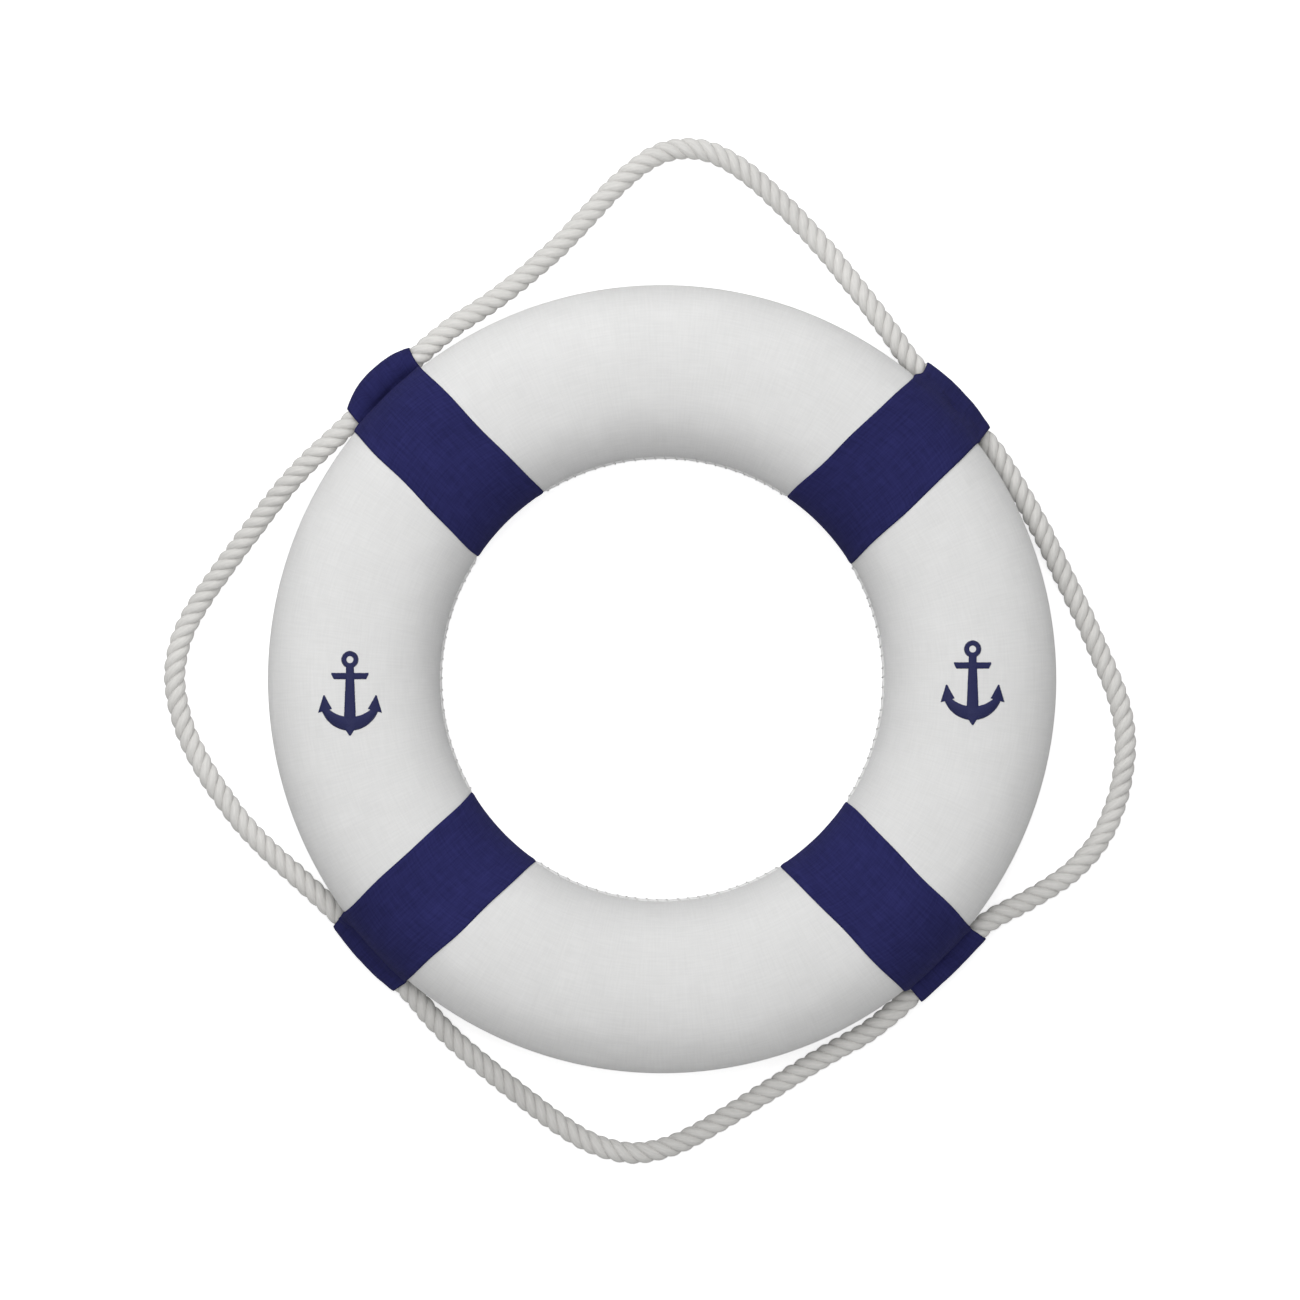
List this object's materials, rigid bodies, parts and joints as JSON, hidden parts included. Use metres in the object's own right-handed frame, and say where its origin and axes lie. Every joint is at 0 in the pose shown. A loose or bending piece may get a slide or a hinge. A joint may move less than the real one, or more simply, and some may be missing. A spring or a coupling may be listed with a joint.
{
  "type": "ring lifebuoy",
  "caption": "Ring lifebuoy: foam ring in a sewn fabric cover, wrapped with bands whose sleeves hold a looped rope grab line.",
  "frame": {"origin": "on the ring's axis, in the plane of the undersides of the bands that it lies on", "axes": "+Z out of the ring's front along its axis, +Y towards the top of the upright anchors, +X to their right"},
  "size_m": [0.5571, 0.587, 0.082],
  "materials": {
    "foam": "fine-beaded expanded foam",
    "cover_fabric": "matt plain-weave canvas",
    "seam_thread": "twisted sewing thread",
    "band_fabric": "matt navy plain-weave canvas",
    "sleeve_thread": "twisted sewing thread",
    "embroidery": "satin-stitch embroidery",
    "rope": "three-strand laid cotton",
    "whipping_twine": "waxed twine"
  },
  "bodies": {
    "root": {"foam_core": "foam", "cover_panel_top": "cover_fabric", "cover_panel_left": "cover_fabric", "cover_panel_bottom": "cover_fabric", "cover_panel_right": "cover_fabric", "seam_thread_top": "seam_thread", "seam_thread_left": "seam_thread", "seam_thread_bottom": "seam_thread", "seam_thread_right": "seam_thread", "band_top_right": "band_fabric", "band_top_left": "band_fabric", "band_bottom_left": "band_fabric", "band_bottom_right": "band_fabric", "sleeve_stitching_top_right": "sleeve_thread", "sleeve_stitching_top_left": "sleeve_thread", "sleeve_stitching_bottom_left": "sleeve_thread", "sleeve_stitching_bottom_right": "sleeve_thread", "anchor_left": "embroidery", "anchor_right": "embroidery", "grab_line": "rope", "rope_end_whipping": "whipping_twine"}
  },
  "joints": []
}
